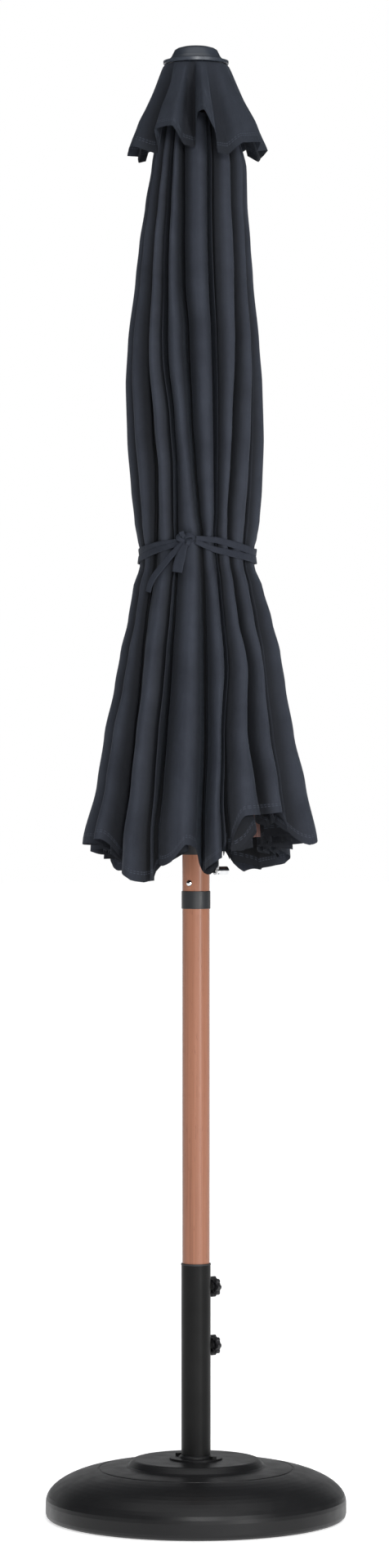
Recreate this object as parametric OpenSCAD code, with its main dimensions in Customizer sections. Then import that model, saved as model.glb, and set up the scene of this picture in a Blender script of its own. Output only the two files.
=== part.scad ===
/* [Base] */
// outside radius of the round base
base_r = 264; // [240:1:290]
// height of the raised centre disc of the base
base_top = 104; // [90:1:120]
// radius of the raised centre disc at its top
disc_r = 109; // [95:1:125]
// radius of the ring groove
groove_r = 171; // [150:1:200]
// sheet thickness of the base shell
shell_t = 2.5; // [1.5:0.5:4]
// radius of the flange plate
flange_r = 46.5; // [42:0.5:55]

/* [Base tube] */
// outside radius of the base tube
tube_r = 25.8; // [25.6:0.1:28]
// inside radius of the base tube
tube_in_r = 24.6; // [24.5:0.1:25]
// height of the top of the base tube above the floor
tube_top = 445; // [400:1:480]
// heights of the two clamp screws
clamp_z = [301, 404];
// direction of the clamp screws, counted from the right hand side
clamp_az = 40; // [0:1:90]
// radius of the clamp knob over its lobes
knob_r = 18.2; // [15:0.1:22]

/* [Pole] */
// outside radius of the pole
pole_r = 24; // [22:0.5:25]
// wall of the pole tube
pole_wall = 1.5; // [1:0.1:2]
// height of the joint between the lower and the upper pole
joint_z = 1086; // [1000:1:1150]
// height of the snap button
button_z = 1116; // [1100:1:1150]
// direction of the snap button
button_az = 240; // [180:1:300]

/* [Crank] */
// height of the crank axis
crank_z = 1200; // [1150:1:1250]
// direction of the crank axis
crank_az = 40; // [0:1:90]
// distance between the centres of the crank arm
crank_len = 63; // [50:1:80]
// radius of the cord's centre line on the spool
cord_pitch_r = 10.5; // [8:0.5:13]

/* [Frame] */
// height of the rib pivots
hub_z = 2500; // [2400:1:2520]
// radius of the circle of rib pivots
pivot_r = 36; // [32:1:42]
// length of a rib from its pivot
rib_len = 1305; // [1200:1:1350]
// lean of a closed rib away from the pole
rib_lean = 3.2; // [2:0.1:6]
// width of a rib
rib_w = 18; // [14:1:22]
// depth of a rib
rib_d = 12; // [10:1:16]
// place of the strut pin along the rib
strut_at = 600; // [550:5:650]
// distance of the strut pin in from the middle of the rib
strut_in = 18; // [16:0.5:22]
// direction of the first rib
rib_az = -15; // [-45:1:45]

/* [Canopy] */
// height of the lowest part of the closed canopy
hem_z = 1128; // [1110:1:1180]
// thickness of the folded cloth of one panel
panel_t = 5; // [3:1:10]
// angle of one closed panel about the pole
panel_angle = 43.4; // [42:0.1:44]
// height of the middle of the tie strap
tie_z = 1688; // [1600:1:1750]
// width of the tie strap
tie_w = 26; // [20:1:35]

/* [Cap] */
// height of the top of the finial cap
cap_top = 2586; // [2570:1:2600]
// radius of the rim of the finial cap
cap_r = 57.4; // [50:0.2:65]

/* [Hidden] */
$fn = 48;
pole_in = pole_r - pole_wall;
foot_z = base_top + 0.1;
strut_len = sqrt(strut_at * strut_at + strut_in * strut_in);
strut_lean = rib_lean - atan(strut_in / strut_at);
runner_z = hub_z - 2 * strut_len * cos(strut_lean);
bolt_az = [-38, 142];

// ---------- helpers ----------

// turns a part drawn along +Z so that it points out of the pole at an angle and height
module outward(az, z) {
    translate([0, 0, z]) rotate([0, 0, az]) rotate([0, 90, 0]) children();
}

// a plain tube standing on z0
module tube(r_out, r_in, z0, z1) {
    translate([0, 0, z0]) difference() {
        cylinder(r = r_out, h = z1 - z0);
        translate([0, 0, -1]) cylinder(r = r_in, h = z1 - z0 + 2);
    }
}

// outline of the base from the wall to the axis, moved in by d
function base_line(d) = concat(
    [for (t = [0:6:84]) [120 + (base_r - 120 - d) * cos(t), 30 + (62 - d) * sin(t)]],
    [[124 - d, 92 - d], [119 - d, 94 - d], [114.5 - d, 100 - d], [disc_r + 2 - d, base_top - 1 - d],
     [disc_r - 1 - d, base_top - d], [0, base_top - d]]);

// ---------- base ----------

module base_shell() {
    color([0.16, 0.16, 0.17]) difference() {
        rotate_extrude($fn = 96) difference() {
            polygon(concat([[0, 1], [base_r - 10, 1], [base_r - 5, 2.5], [base_r - 1.5, 6], [base_r, 11]],
                base_line(0)));
            polygon(concat([[-1, -1], [base_r - 12, -1], [base_r - 5, 6], [base_r - shell_t, 11]],
                base_line(shell_t), [[-1, base_top - shell_t]]));
            translate([groove_r, 88.2]) circle(r = 1.9, $fn = 16);
        }
        for (a = bolt_az) rotate([0, 0, a]) translate([38, 0, base_top - 20]) cylinder(r = 4.3, h = 30);
    }
}

module base_weight() {
    color([0.6, 0.6, 0.58]) difference() {
        rotate_extrude($fn = 96) difference() {
            polygon(concat([[0, 4.2], [base_r - 12, 4.2], [base_r - 6, 8], [base_r - shell_t - 0.5, 12]],
                base_line(shell_t + 0.3)));
            translate([groove_r, 88.2]) circle(r = 3, $fn = 16);
        }
        for (a = bolt_az) rotate([0, 0, a]) translate([38, 0, base_top - 34]) cylinder(r = 8, h = 40);
    }
}

module bottom_plate() {
    color([0.12, 0.12, 0.12]) cylinder(r = base_r - 15, h = 4, $fn = 96);
}

module flange_plate() {
    color([0.14, 0.14, 0.15]) difference() {
        rotate_extrude($fn = 72) polygon([[tube_r + 0.05, base_top], [flange_r, base_top],
            [flange_r, base_top + 2.5], [flange_r - 0.5, base_top + 3], [tube_r + 4.5, base_top + 3],
            [tube_r + 3.6, base_top + 5], [tube_r + 1.5, base_top + 6.8], [tube_r + 0.05, base_top + 7.5]]);
        for (a = bolt_az) rotate([0, 0, a]) translate([38, 0, base_top - 1]) cylinder(r = 4.3, h = 8);
    }
}

module flange_bolts() {
    color([0.2, 0.2, 0.21]) for (a = bolt_az) rotate([0, 0, a]) translate([38, 0, 0]) {
        translate([0, 0, base_top - 28]) cylinder(r = 4, h = 32);
        translate([0, 0, base_top + 3.05]) cylinder(r = 6.5, h = 4.5, $fn = 6);
        translate([0, 0, base_top - 24]) cylinder(r = 7, h = 6, $fn = 6);
    }
}

module base_tube() {
    color([0.1, 0.1, 0.1]) difference() {
        tube(tube_r, tube_in_r, base_top, tube_top);
        for (z = clamp_z) outward(clamp_az, z) translate([0, 0, 20]) cylinder(r = 4.4, h = 12);
    }
}

module clamp_nuts() {
    color([0.12, 0.12, 0.12]) for (z = clamp_z) outward(clamp_az, z) difference() {
        translate([0, 0, 20]) cylinder(r = 9, h = 13, $fn = 6);
        cylinder(r = 4.4, h = 40);
        rotate([0, 90, 0]) translate([0, 0, -20]) cylinder(r = tube_r + 0.05, h = 40);
    }
}

module tube_bush() {
    color([0.07, 0.07, 0.08]) rotate_extrude($fn = 72) polygon([
        [pole_r + 0.05, tube_top - 28], [tube_in_r - 0.05, tube_top - 28],
        [tube_in_r - 0.05, tube_top + 0.1], [tube_r + 0.5, tube_top + 0.1],
        [tube_r + 0.5, tube_top + 2], [tube_r, tube_top + 3], [pole_r + 0.05, tube_top + 3]]);
}

module clamp_screw(i) {
    outward(clamp_az, clamp_z[i]) translate([0, 0, pole_r + 0.4]) cylinder(r = 4, h = 17);
}

module clamp_screw_1() {
    color([0.6, 0.6, 0.6]) clamp_screw(0);
}

module clamp_screw_2() {
    color([0.6, 0.6, 0.6]) clamp_screw(1);
}

module clamp_knob(i) {
    outward(clamp_az, clamp_z[i]) difference() {
        union() {
            translate([0, 0, 43]) cylinder(r = 11, h = 2.2);
            difference() {
                translate([0, 0, 35]) cylinder(r = 15.2, h = 9);
                translate([0, 0, 34]) cylinder(r = 12.6, h = 7.5);
            }
            translate([0, 0, 33.8]) cylinder(r = 7, h = 8.6);
            for (a = [0:45:315]) rotate([0, 0, a]) {
                difference() {
                    translate([knob_r - 4.2, 0, 35.4]) cylinder(r = 4.2, h = 8.2);
                    translate([0, 0, 34]) cylinder(r = 13.4, h = 8.1);
                }
                rotate([0, 0, 22.5]) translate([6, -0.7, 36.2]) cube([7.4, 1.4, 6]);
            }
        }
        translate([0, 0, 30]) cylinder(r = 4.05, h = 12);
    }
}

module clamp_knob_1() {
    color([0.08, 0.08, 0.09]) clamp_knob(0);
}

module clamp_knob_2() {
    color([0.08, 0.08, 0.09]) clamp_knob(1);
}

// ---------- pole ----------

module lower_pole() {
    color([0.55, 0.36, 0.28]) tube(pole_r, pole_in, foot_z + 4, joint_z - 0.3);
}

module pole_foot_cap() {
    color([0.08, 0.08, 0.08]) translate([0, 0, foot_z]) {
        cylinder(r = pole_r, h = 3.9);
        tube(pole_in - 0.05, pole_in - 2.5, 3.8, 24);
    }
}

module pole_spigot() {
    color([0.6, 0.6, 0.6]) difference() {
        tube(pole_in - 0.05, pole_in - 1.6, 940, 1150);
        outward(button_az, button_z) translate([0, 0, 10]) cylinder(r = 5.4, h = 20);
    }
}

module pole_collar() {
    color([0.27, 0.28, 0.32]) rotate_extrude($fn = 72) polygon([
        [pole_r + 0.05, joint_z - 15], [pole_r + 1.1, joint_z - 15], [pole_r + 1.4, joint_z - 14.5],
        [pole_r + 1.4, joint_z + 15.5], [pole_r + 1.1, joint_z + 16], [pole_r + 0.05, joint_z + 16]]);
}

module upper_pole() {
    color([0.55, 0.36, 0.28]) difference() {
        tube(pole_r, pole_in, joint_z + 0.3, hub_z - 8);
        outward(button_az, button_z) translate([0, 0, 15]) cylinder(r = 5.4, h = 12);
        outward(crank_az, crank_z) translate([0, 0, -30]) cylinder(r = 8, h = 60);
        outward(crank_az, hub_z - 45) translate([0, 0, -30]) cylinder(r = 3.05, h = 60);
        for (a = [0, 180]) rotate([0, 0, crank_az + 90 + a])
            translate([pole_r - 1, 0, crank_z - 24]) rotate([0, 90, 0]) cylinder(r = 2.1, h = 8, center = true);
    }
}

module snap_button() {
    color([0.85, 0.85, 0.86]) outward(button_az, button_z) {
        translate([0, 0, 17.6]) cylinder(r = 5, h = 7.4);
        translate([0, 0, 17.6]) cylinder(r = 6.4, h = 1.6);
        translate([0, 0, 25]) intersection() {
            translate([0, 0, -3.6]) sphere(r = 6.16);
            cylinder(r = 5, h = 5);
        }
    }
}

module button_spring() {
    color([0.6, 0.6, 0.62]) rotate([0, 0, button_az]) translate([0, 0, button_z]) rotate([90, 0, 0])
        linear_extrude(height = 8, center = true)
        polygon([[16.5, 7], [16.5, -8], [2, -62], [-16, -8], [-19.8, -8], [-19.8, -9], [-16.8, -9], [2, -65.6],
            [3.2, -62], [17.4, -8.2], [17.4, 7]]);
}

module crank_housing() {
    color([0.1, 0.1, 0.11]) difference() {
        union() {
            tube(31, pole_r + 0.05, crank_z - 34, crank_z + 36);
            outward(crank_az, crank_z) translate([0, 0, 25]) cylinder(r = 15, h = 15.5);
            outward(crank_az + 180, crank_z) translate([0, 0, 25]) cylinder(r = 12, h = 10);
            for (a = [90, 270]) outward(crank_az + a, crank_z - 24) translate([0, 0, 26]) cylinder(r = 6, h = 8);
        }
        outward(crank_az, crank_z) translate([0, 0, -30]) cylinder(r = 5.35, h = 80);
        translate([0, 0, crank_z - 40]) cylinder(r = pole_r + 0.05, h = 80);
        for (a = [90, 270]) outward(crank_az + a, crank_z - 24) translate([0, 0, 10]) cylinder(r = 2.1, h = 30);
    }
}

module housing_screws() {
    color([0.6, 0.6, 0.6]) for (a = [90, 270]) outward(crank_az + a, crank_z - 24) {
        translate([0, 0, pole_in + 0.4]) cylinder(r = 2, h = 13);
        translate([0, 0, 34.1]) cylinder(r = 3.8, h = 2.4);
    }
}

// ---------- crank ----------

module crank_spool() {
    color([0.6, 0.6, 0.62]) outward(crank_az, crank_z) {
        translate([0, 0, -29]) cylinder(r = 5, h = 73.4);
        translate([0, 0, -12]) cylinder(r = cord_pitch_r - 1.25, h = 24);
        for (z = [-14, 12]) translate([0, 0, z]) cylinder(r = 14, h = 2);
    }
}

module crank_arm() {
    color([0.8, 0.8, 0.82]) outward(crank_az, crank_z) difference() {
        translate([0, 0, 43.5]) {
            cylinder(r = 7.5, h = 4);
            translate([crank_len, 0, 0]) cylinder(r = 7, h = 4);
            translate([0, -6.6, 0]) cube([crank_len, 13.2, 4]);
            cylinder(r = 6, h = 5);
        }
        cylinder(r = 5.02, h = 44.45);
        translate([crank_len, 0, 30]) cylinder(r = 2.55, h = 30);
    }
}

module crank_grip() {
    color([0.82, 0.82, 0.84]) outward(crank_az, crank_z) translate([crank_len, 0, 0]) difference() {
        union() {
            translate([0, 0, 47.8]) cylinder(r1 = 6.6, r2 = 7.5, h = 1);
            translate([0, 0, 48.8]) cylinder(r = 7.5, h = 21.2);
            translate([0, 0, 70]) cylinder(r1 = 7.5, r2 = 6.4, h = 1.2);
        }
        translate([0, 0, 40]) cylinder(r = 2.55, h = 40);
        translate([0, 0, 69.4]) cylinder(r = 4.9, h = 4);
    }
}

module grip_rivet() {
    color([0.7, 0.7, 0.72]) outward(crank_az, crank_z) translate([crank_len, 0, 0]) {
        translate([0, 0, 42]) cylinder(r = 2.5, h = 28.6);
        translate([0, 0, 42]) cylinder(r1 = 3.4, r2 = 4.2, h = 1.4);
        translate([0, 0, 69.8]) cylinder(r = 4.5, h = 1.2);
    }
}

module lift_cord() {
    color([0.85, 0.85, 0.82]) rotate([0, 0, crank_az + 90]) translate([-cord_pitch_r, 0, crank_z])
        cylinder(r = 1.2, h = hub_z - 45 - crank_z, $fn = 16);
}

module top_pulley() {
    color([0.15, 0.15, 0.15]) outward(crank_az, hub_z - 45) difference() {
        translate([0, 0, -4]) rotate_extrude() polygon([[3.05, 0], [13, 0], [13, 1.2],
            [cord_pitch_r - 1.25, 2.8], [cord_pitch_r - 1.25, 5.2], [13, 6.8], [13, 8], [3.05, 8]]);
    }
}

module pulley_pin() {
    color([0.6, 0.6, 0.6]) outward(crank_az, hub_z - 45) translate([0, 0, -23.8]) cylinder(r = 3, h = 47.6);
}

// ---------- hub, cap and runner ----------

module top_hub() {
    color([0.09, 0.09, 0.1]) difference() {
        union() {
            translate([0, 0, hub_z - 15]) cylinder(r = 45, h = 27);
            tube(28, pole_r + 0.05, hub_z - 38, hub_z - 14);
            translate([0, 0, hub_z + 11]) cylinder(r = 7, h = 46);
        }
        translate([0, 0, hub_z - 40]) cylinder(r = pole_r + 0.05, h = 32.2);
        for (i = [0:7]) rotate([0, 0, rib_az + 45 * i]) {
            translate([29, -2.9, hub_z - 20]) cube([30, 5.8, 27.5]);
            translate([pivot_r, 10, hub_z]) rotate([90, 0, 0]) cylinder(r = 2.05, h = 20);
        }
    }
}

module hub_pins() {
    color([0.65, 0.65, 0.65]) for (i = [0:7]) rotate([0, 0, rib_az + 45 * i])
        translate([pivot_r, 8, hub_z]) rotate([90, 0, 0]) cylinder(r = 2, h = 16);
}

module finial_cap() {
    color([0.22, 0.24, 0.28]) difference() {
        rotate_extrude($fn = 72) polygon([[0, cap_top], [12, cap_top - 0.2], [24, cap_top - 1.4],
            [33, cap_top - 4], [37.5, cap_top - 7], [40, cap_top - 12], [43, cap_top - 18],
            [47, cap_top - 22.5], [52, cap_top - 25], [cap_r, cap_top - 26], [cap_r, cap_top - 31],
            [cap_r - 1.5, cap_top - 32], [cap_r - 4, cap_top - 32], [cap_r - 5, cap_top - 29],
            [44, cap_top - 27], [38, cap_top - 20], [34, cap_top - 11], [0, cap_top - 10]]);
    }
    color([0.22, 0.24, 0.28]) tube(12, 7.1, hub_z + 16, cap_top - 9);
}

module vent_canopy() {
    color([0.21, 0.23, 0.28]) rotate_extrude($fn = 72) polygon([
        [55, hub_z + 53.5], [60, hub_z + 48], [68, hub_z + 24], [80, hub_z - 20], [96, hub_z - 66],
        [112, hub_z - 100], [118, hub_z - 118], [116, hub_z - 118], [110, hub_z - 99], [94, hub_z - 65],
        [78, hub_z - 20], [66, hub_z + 24], [58, hub_z + 47], [46, hub_z + 52]]);
}

module runner() {
    color([0.09, 0.09, 0.1]) difference() {
        union() {
            translate([0, 0, runner_z - 14]) cylinder(r = 45, h = 28);
            translate([0, 0, runner_z - 22]) cylinder(r = 29, h = 50);
        }
        translate([0, 0, runner_z - 30]) cylinder(r = pole_r + 0.4, h = 70);
        for (i = [0:7]) rotate([0, 0, rib_az + 45 * i])
            translate([29.3, -6.5, runner_z - 20]) cube([20, 13, 40]);
    }
}

// ---------- ribs, struts and cloth ----------

// puts a part drawn hanging straight down from its pivot onto rib i
module on_rib(i) {
    rotate([0, 0, rib_az + 45 * (i - 1)]) translate([pivot_r, 0, hub_z]) rotate([0, -rib_lean, 0]) children();
}

// a wooden bar with a metal tongue at the hub, a clip for the strut and an end cap
module rib(i) {
    on_rib(i) difference() {
        union() {
            translate([-rib_d / 2, -rib_w / 2, -rib_len]) cube([rib_d, rib_w, rib_len - 19]);
            translate([-5, -2.5, -24]) cube([10, 5, 24]);
            rotate([90, 0, 0]) translate([0, 0, -2.5]) cylinder(r = 5, h = 5);
            for (y = [-rib_w / 2, rib_w / 2 - 2.6]) {
                translate([-strut_in, y, -strut_at - 8]) cube([strut_in, 2.6, 16]);
                translate([-strut_in, y + 2.6, -strut_at]) rotate([90, 0, 0]) cylinder(r = 5.5, h = 2.6);
            }
        }
        translate([0, 5, 0]) rotate([90, 0, 0]) cylinder(r = 2.05, h = 10);
        translate([-strut_in, rib_w, -strut_at]) rotate([90, 0, 0]) cylinder(r = 2.55, h = 2 * rib_w);
    }
}

// a bar from the rib's clip down to the runner, with its two rivets
module strut(i) {
    rotate([0, 0, rib_az + 45 * (i - 1)]) translate([pivot_r, 0, runner_z]) rotate([0, strut_lean, 0]) {
        for (z = [0, strut_len]) translate([0, 6, z]) rotate([90, 0, 0]) cylinder(r = 5.5, h = 12);
        translate([-5.5, -6, 0]) cube([11, 12, strut_len]);
        translate([0, rib_w / 2, strut_len]) rotate([90, 0, 0]) cylinder(r = 2.5, h = rib_w);
    }
}

// outer outline of the folded cloth, from the vent down to the hem
cloth_line = [[70, 2462], [83, 2374], [89, 2300], [98, 2230], [107, 2150], [116, 2060], [120, 1980],
    [120, 1890], [115, 1807], [109, 1745], [102, tie_z + 24], [99.5, tie_z + 15], [99.5, tie_z - 15],
    [112, 1640], [124, 1580], [140, 1515], [156, 1435], [171, 1350], [188, 1262], [205, 1190]];

// the folded cloth that one rib carries, pressed onto the rib under the strap
module panel(i) {
    rotate([0, 0, rib_az + 45 * (i - 1) - panel_angle / 2]) rotate_extrude(angle = panel_angle, $fn = 72)
        polygon(concat(cloth_line, [[198, hem_z + 22], [186, hem_z], [184 - panel_t, hem_z + 4]],
            [for (k = [len(cloth_line) - 2:-1:0]) let (p = cloth_line[k])
                [abs(p[1] - tie_z) < 20 ? hub_rib_r(p[1]) : p[0] - panel_t, p[1]]]));
}

// radius just outside the rib at a height
function hub_rib_r(z) = pivot_r + (hub_z - z) * tan(rib_lean) + rib_d / 2 + 1.2;

module tie_strap() {
    color([0.19, 0.2, 0.25]) {
        tube(102.4, 99.9, tie_z - tie_w / 2, tie_z + tie_w / 2);
        translate([-24, -105.9, tie_z + 5]) rotate([0, 90, 0]) cylinder(r = 6, h = 26);
        rotate([0, 0, -115]) hull() {
            translate([101.2, -7, tie_z - 10]) cube([2, 14, 8]);
            translate([115.5, -7, tie_z - 52]) cube([2, 14, 2]);
        }
        rotate([0, 0, -101]) hull() {
            translate([101.2, -8, tie_z - 10]) cube([2, 16, 8]);
            translate([111.5, -8, tie_z - 38]) cube([2, 16, 2]);
        }
    }
}

module rib_1() {
    color([0.34, 0.23, 0.21]) rib(1);
}

module rib_2() {
    color([0.34, 0.23, 0.21]) rib(2);
}

module rib_3() {
    color([0.34, 0.23, 0.21]) rib(3);
}

module rib_4() {
    color([0.34, 0.23, 0.21]) rib(4);
}

module rib_5() {
    color([0.34, 0.23, 0.21]) rib(5);
}

module rib_6() {
    color([0.34, 0.23, 0.21]) rib(6);
}

module rib_7() {
    color([0.34, 0.23, 0.21]) rib(7);
}

module rib_8() {
    color([0.34, 0.23, 0.21]) rib(8);
}

module strut_1() {
    color([0.34, 0.23, 0.21]) strut(1);
}

module strut_2() {
    color([0.34, 0.23, 0.21]) strut(2);
}

module strut_3() {
    color([0.34, 0.23, 0.21]) strut(3);
}

module strut_4() {
    color([0.34, 0.23, 0.21]) strut(4);
}

module strut_5() {
    color([0.34, 0.23, 0.21]) strut(5);
}

module strut_6() {
    color([0.34, 0.23, 0.21]) strut(6);
}

module strut_7() {
    color([0.34, 0.23, 0.21]) strut(7);
}

module strut_8() {
    color([0.34, 0.23, 0.21]) strut(8);
}

module canopy_panel_1() {
    color([0.19, 0.21, 0.26]) panel(1);
}

module canopy_panel_2() {
    color([0.19, 0.21, 0.26]) panel(2);
}

module canopy_panel_3() {
    color([0.19, 0.21, 0.26]) panel(3);
}

module canopy_panel_4() {
    color([0.19, 0.21, 0.26]) panel(4);
}

module canopy_panel_5() {
    color([0.19, 0.21, 0.26]) panel(5);
}

module canopy_panel_6() {
    color([0.19, 0.21, 0.26]) panel(6);
}

module canopy_panel_7() {
    color([0.19, 0.21, 0.26]) panel(7);
}

module canopy_panel_8() {
    color([0.19, 0.21, 0.26]) panel(8);
}

base_shell();
base_weight();
bottom_plate();
flange_plate();
flange_bolts();
base_tube();
clamp_nuts();
tube_bush();
clamp_screw_1();
clamp_screw_2();
clamp_knob_1();
clamp_knob_2();
lower_pole();
pole_spigot();
pole_collar();
pole_foot_cap();
snap_button();
button_spring();
upper_pole();
crank_housing();
housing_screws();
crank_spool();
crank_arm();
crank_grip();
grip_rivet();
lift_cord();
top_pulley();
pulley_pin();
top_hub();
hub_pins();
finial_cap();
vent_canopy();
runner();
tie_strap();
rib_1();
rib_2();
rib_3();
rib_4();
rib_5();
rib_6();
rib_7();
rib_8();
strut_1();
strut_2();
strut_3();
strut_4();
strut_5();
strut_6();
strut_7();
strut_8();
canopy_panel_1();
canopy_panel_2();
canopy_panel_3();
canopy_panel_4();
canopy_panel_5();
canopy_panel_6();
canopy_panel_7();
canopy_panel_8();
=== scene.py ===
"""A closed crank-lift market umbrella on its round base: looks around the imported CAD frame."""
import math

import bpy
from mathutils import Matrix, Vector, noise


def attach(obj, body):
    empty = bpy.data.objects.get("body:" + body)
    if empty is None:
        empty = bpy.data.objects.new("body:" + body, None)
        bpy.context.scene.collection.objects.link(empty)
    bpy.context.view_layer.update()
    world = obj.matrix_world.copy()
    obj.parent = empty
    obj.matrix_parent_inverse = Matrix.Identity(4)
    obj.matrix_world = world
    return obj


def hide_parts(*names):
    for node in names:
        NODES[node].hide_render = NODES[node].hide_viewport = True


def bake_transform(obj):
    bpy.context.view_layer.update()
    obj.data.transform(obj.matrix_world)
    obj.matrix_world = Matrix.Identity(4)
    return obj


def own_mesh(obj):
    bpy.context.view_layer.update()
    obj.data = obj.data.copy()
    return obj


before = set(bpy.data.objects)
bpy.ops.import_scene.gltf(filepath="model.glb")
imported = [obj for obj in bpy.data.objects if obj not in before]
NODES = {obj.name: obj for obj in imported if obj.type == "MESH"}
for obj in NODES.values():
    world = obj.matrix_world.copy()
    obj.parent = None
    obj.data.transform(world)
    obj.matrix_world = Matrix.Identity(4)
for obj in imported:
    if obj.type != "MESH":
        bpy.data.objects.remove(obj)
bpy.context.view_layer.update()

# ---------------------------------------------------------------- helpers


def lin(r, g, b):
    """A linear colour from 8-bit display values."""
    f = lambda c: c / 12.92 if c <= 0.04045 else ((c + 0.055) / 1.055) ** 2.4
    return (f(r / 255), f(g / 255), f(b / 255), 1.0)


def lerp(a, b, t):
    return a + (b - a) * t


def clamp(x):
    """x kept from 0 to 1."""
    return min(max(x, 0), 1)


def wrapped(alpha):
    """An angle in degrees brought into -90 to 270, where the hem tables run."""
    return (alpha + 90) % 360 - 90


def table(rows, x, col=1):
    """Smooth interpolation in rows of (x, value, ...), sorted by x in either direction."""
    if rows[0][0] > rows[-1][0]:
        rows = rows[::-1]
    if x <= rows[0][0]:
        return rows[0][col]
    for p, q in zip(rows, rows[1:]):
        if x <= q[0]:
            t = (x - p[0]) / (q[0] - p[0])
            t = t * 0.5 + 0.5 * t * t * (3 - 2 * t)
            return lerp(p[col], q[col], t)
    return rows[-1][col]


def spline(points, n):
    """n + 1 points on a Catmull-Rom curve through the points, evenly spaced in parameter."""
    out = []
    last = len(points) - 1
    for k in range(n + 1):
        s = k / n * last
        i = min(int(s), last - 1)
        t = s - i
        p0, p1, p2, p3 = (points[min(max(i + j, 0), last)] for j in (-1, 0, 1, 2))
        out.append(tuple(
            0.5 * (2 * b + (c - a) * t + (2 * a - 5 * b + 4 * c - d) * t * t
                   + (3 * b - a - 3 * c + d) * t ** 3)
            for a, b, c, d in zip(p0, p1, p2, p3)))
    return out


def around(alpha, r, z):
    """A point at an angle from the front, counted to the right, in degrees."""
    a = math.radians(alpha)
    return Vector((r * math.sin(a), -r * math.cos(a), z))


def grid_mesh(name, rows, material, uvs=None, close_u=False, shade_mask=None):
    """A smooth sheet through rows of points, with a UV map in metres and one of how far out it stands, from
    which the cloth material paints shade.
    """
    nu, nv = len(rows[0]), len(rows)
    verts = [p for row in rows for p in row]
    faces, cells = [], []
    for j in range(nv - 1):
        for i in range(nu if close_u else nu - 1):
            k = (i + 1) % nu
            faces.append((j * nu + i, j * nu + k, (j + 1) * nu + k, (j + 1) * nu + i))
            cells.append((j, i))
    mesh = bpy.data.meshes.new(name)
    mesh.from_pydata([tuple(v) for v in verts], [], faces)
    mesh.polygons.foreach_set("use_smooth", [True] * len(faces))
    for title, coords in (("cut", uvs), ("depth", shade_mask)):
        if coords:
            layer = mesh.uv_layers.new(name=title)
            for poly, (j, i) in zip(mesh.polygons, cells):
                corners = ((j, i), (j, i + 1), (j + 1, i + 1), (j + 1, i))
                for loop, (jj, ii) in zip(poly.loop_indices, corners):
                    layer.data[loop].uv = coords[jj][ii]
    mesh.materials.append(material)
    obj = bpy.data.objects.new(name, mesh)
    bpy.context.collection.objects.link(obj)
    return obj


def join(name, parts):
    """One object from several mesh objects."""
    bpy.ops.object.select_all(action="DESELECT")
    for p in parts:
        p.select_set(True)
    bpy.context.view_layer.objects.active = parts[0]
    bpy.ops.object.join()
    parts[0].name = name
    return parts[0]


# ---------------------------------------------------------------- materials


class Paint:
    """A Principled material; constants go straight onto the shader's sockets."""

    def __init__(self, name, **constants):
        self.mat = bpy.data.materials.new(name)
        self.mat.use_nodes = True
        self.tree = self.mat.node_tree
        self.shader = self.tree.nodes["Principled BSDF"]
        for key, value in constants.items():
            self.shader.inputs[key.replace("_", " ")].default_value = value

    def node(self, kind, inputs=None, **props):
        n = self.tree.nodes.new("ShaderNode" + kind)
        for key, value in props.items():
            setattr(n, key, value)
        for key, value in (inputs or {}).items():
            if hasattr(value, "is_output"):
                self.tree.links.new(value, n.inputs[key])
            else:
                n.inputs[key].default_value = value
        return n

    def coords(self, scale=(1, 1, 1), space="Object", turn=(0, 0, 0)):
        tc = self.node("TexCoord")
        place = {"Vector": tc.outputs[space], "Scale": scale, "Rotation": turn}
        return self.node("Mapping", place).outputs[0]

    def noise(self, vector, scale, detail=3.0, rough=0.5):
        n = self.node("TexNoise", {"Vector": vector, "Scale": scale, "Detail": detail, "Roughness": rough})
        return n.outputs["Fac"]

    def ramp(self, fac, stops):
        n = self.node("ValToRGB", {"Fac": fac})
        e = n.color_ramp.elements
        while len(e) < len(stops):
            e.new(0.5)
        for item, (pos, col) in zip(e, stops):
            item.position = pos
            item.color = col if hasattr(col, "__len__") else (col, col, col, 1)
        return n.outputs["Color"]

    def math(self, op, a, b=0.0):
        return self.node("Math", {0: a, 1: b}, operation=op).outputs[0]

    def mix(self, fac, a, b):
        n = self.node("Mix", data_type="RGBA")
        for socket, value in zip((n.inputs[0], n.inputs[6], n.inputs[7]), (fac, a, b)):
            if hasattr(value, "is_output"):
                self.tree.links.new(value, socket)
            else:
                socket.default_value = value
        return n.outputs[2]

    def bump(self, height, strength, distance, under=None):
        inputs = {"Height": height, "Strength": strength, "Distance": distance}
        if under is not None:
            inputs["Normal"] = under
        return self.node("Bump", inputs).outputs[0]

    def out(self, **links):
        for key, value in links.items():
            self.tree.links.new(value, self.shader.inputs[key.replace("_", " ")])
        return self.mat


THREADS = 380.0            # scale of the weave
HEM_FOLD = 0.019           # height of the turned-up hem, in metres
SEAMS = (0.013, 0.0165)    # heights of its two rows of stitches
SEAM_HALF = 0.0006         # half the width of a row
STITCHES = 250.0           # to the metre


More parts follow.
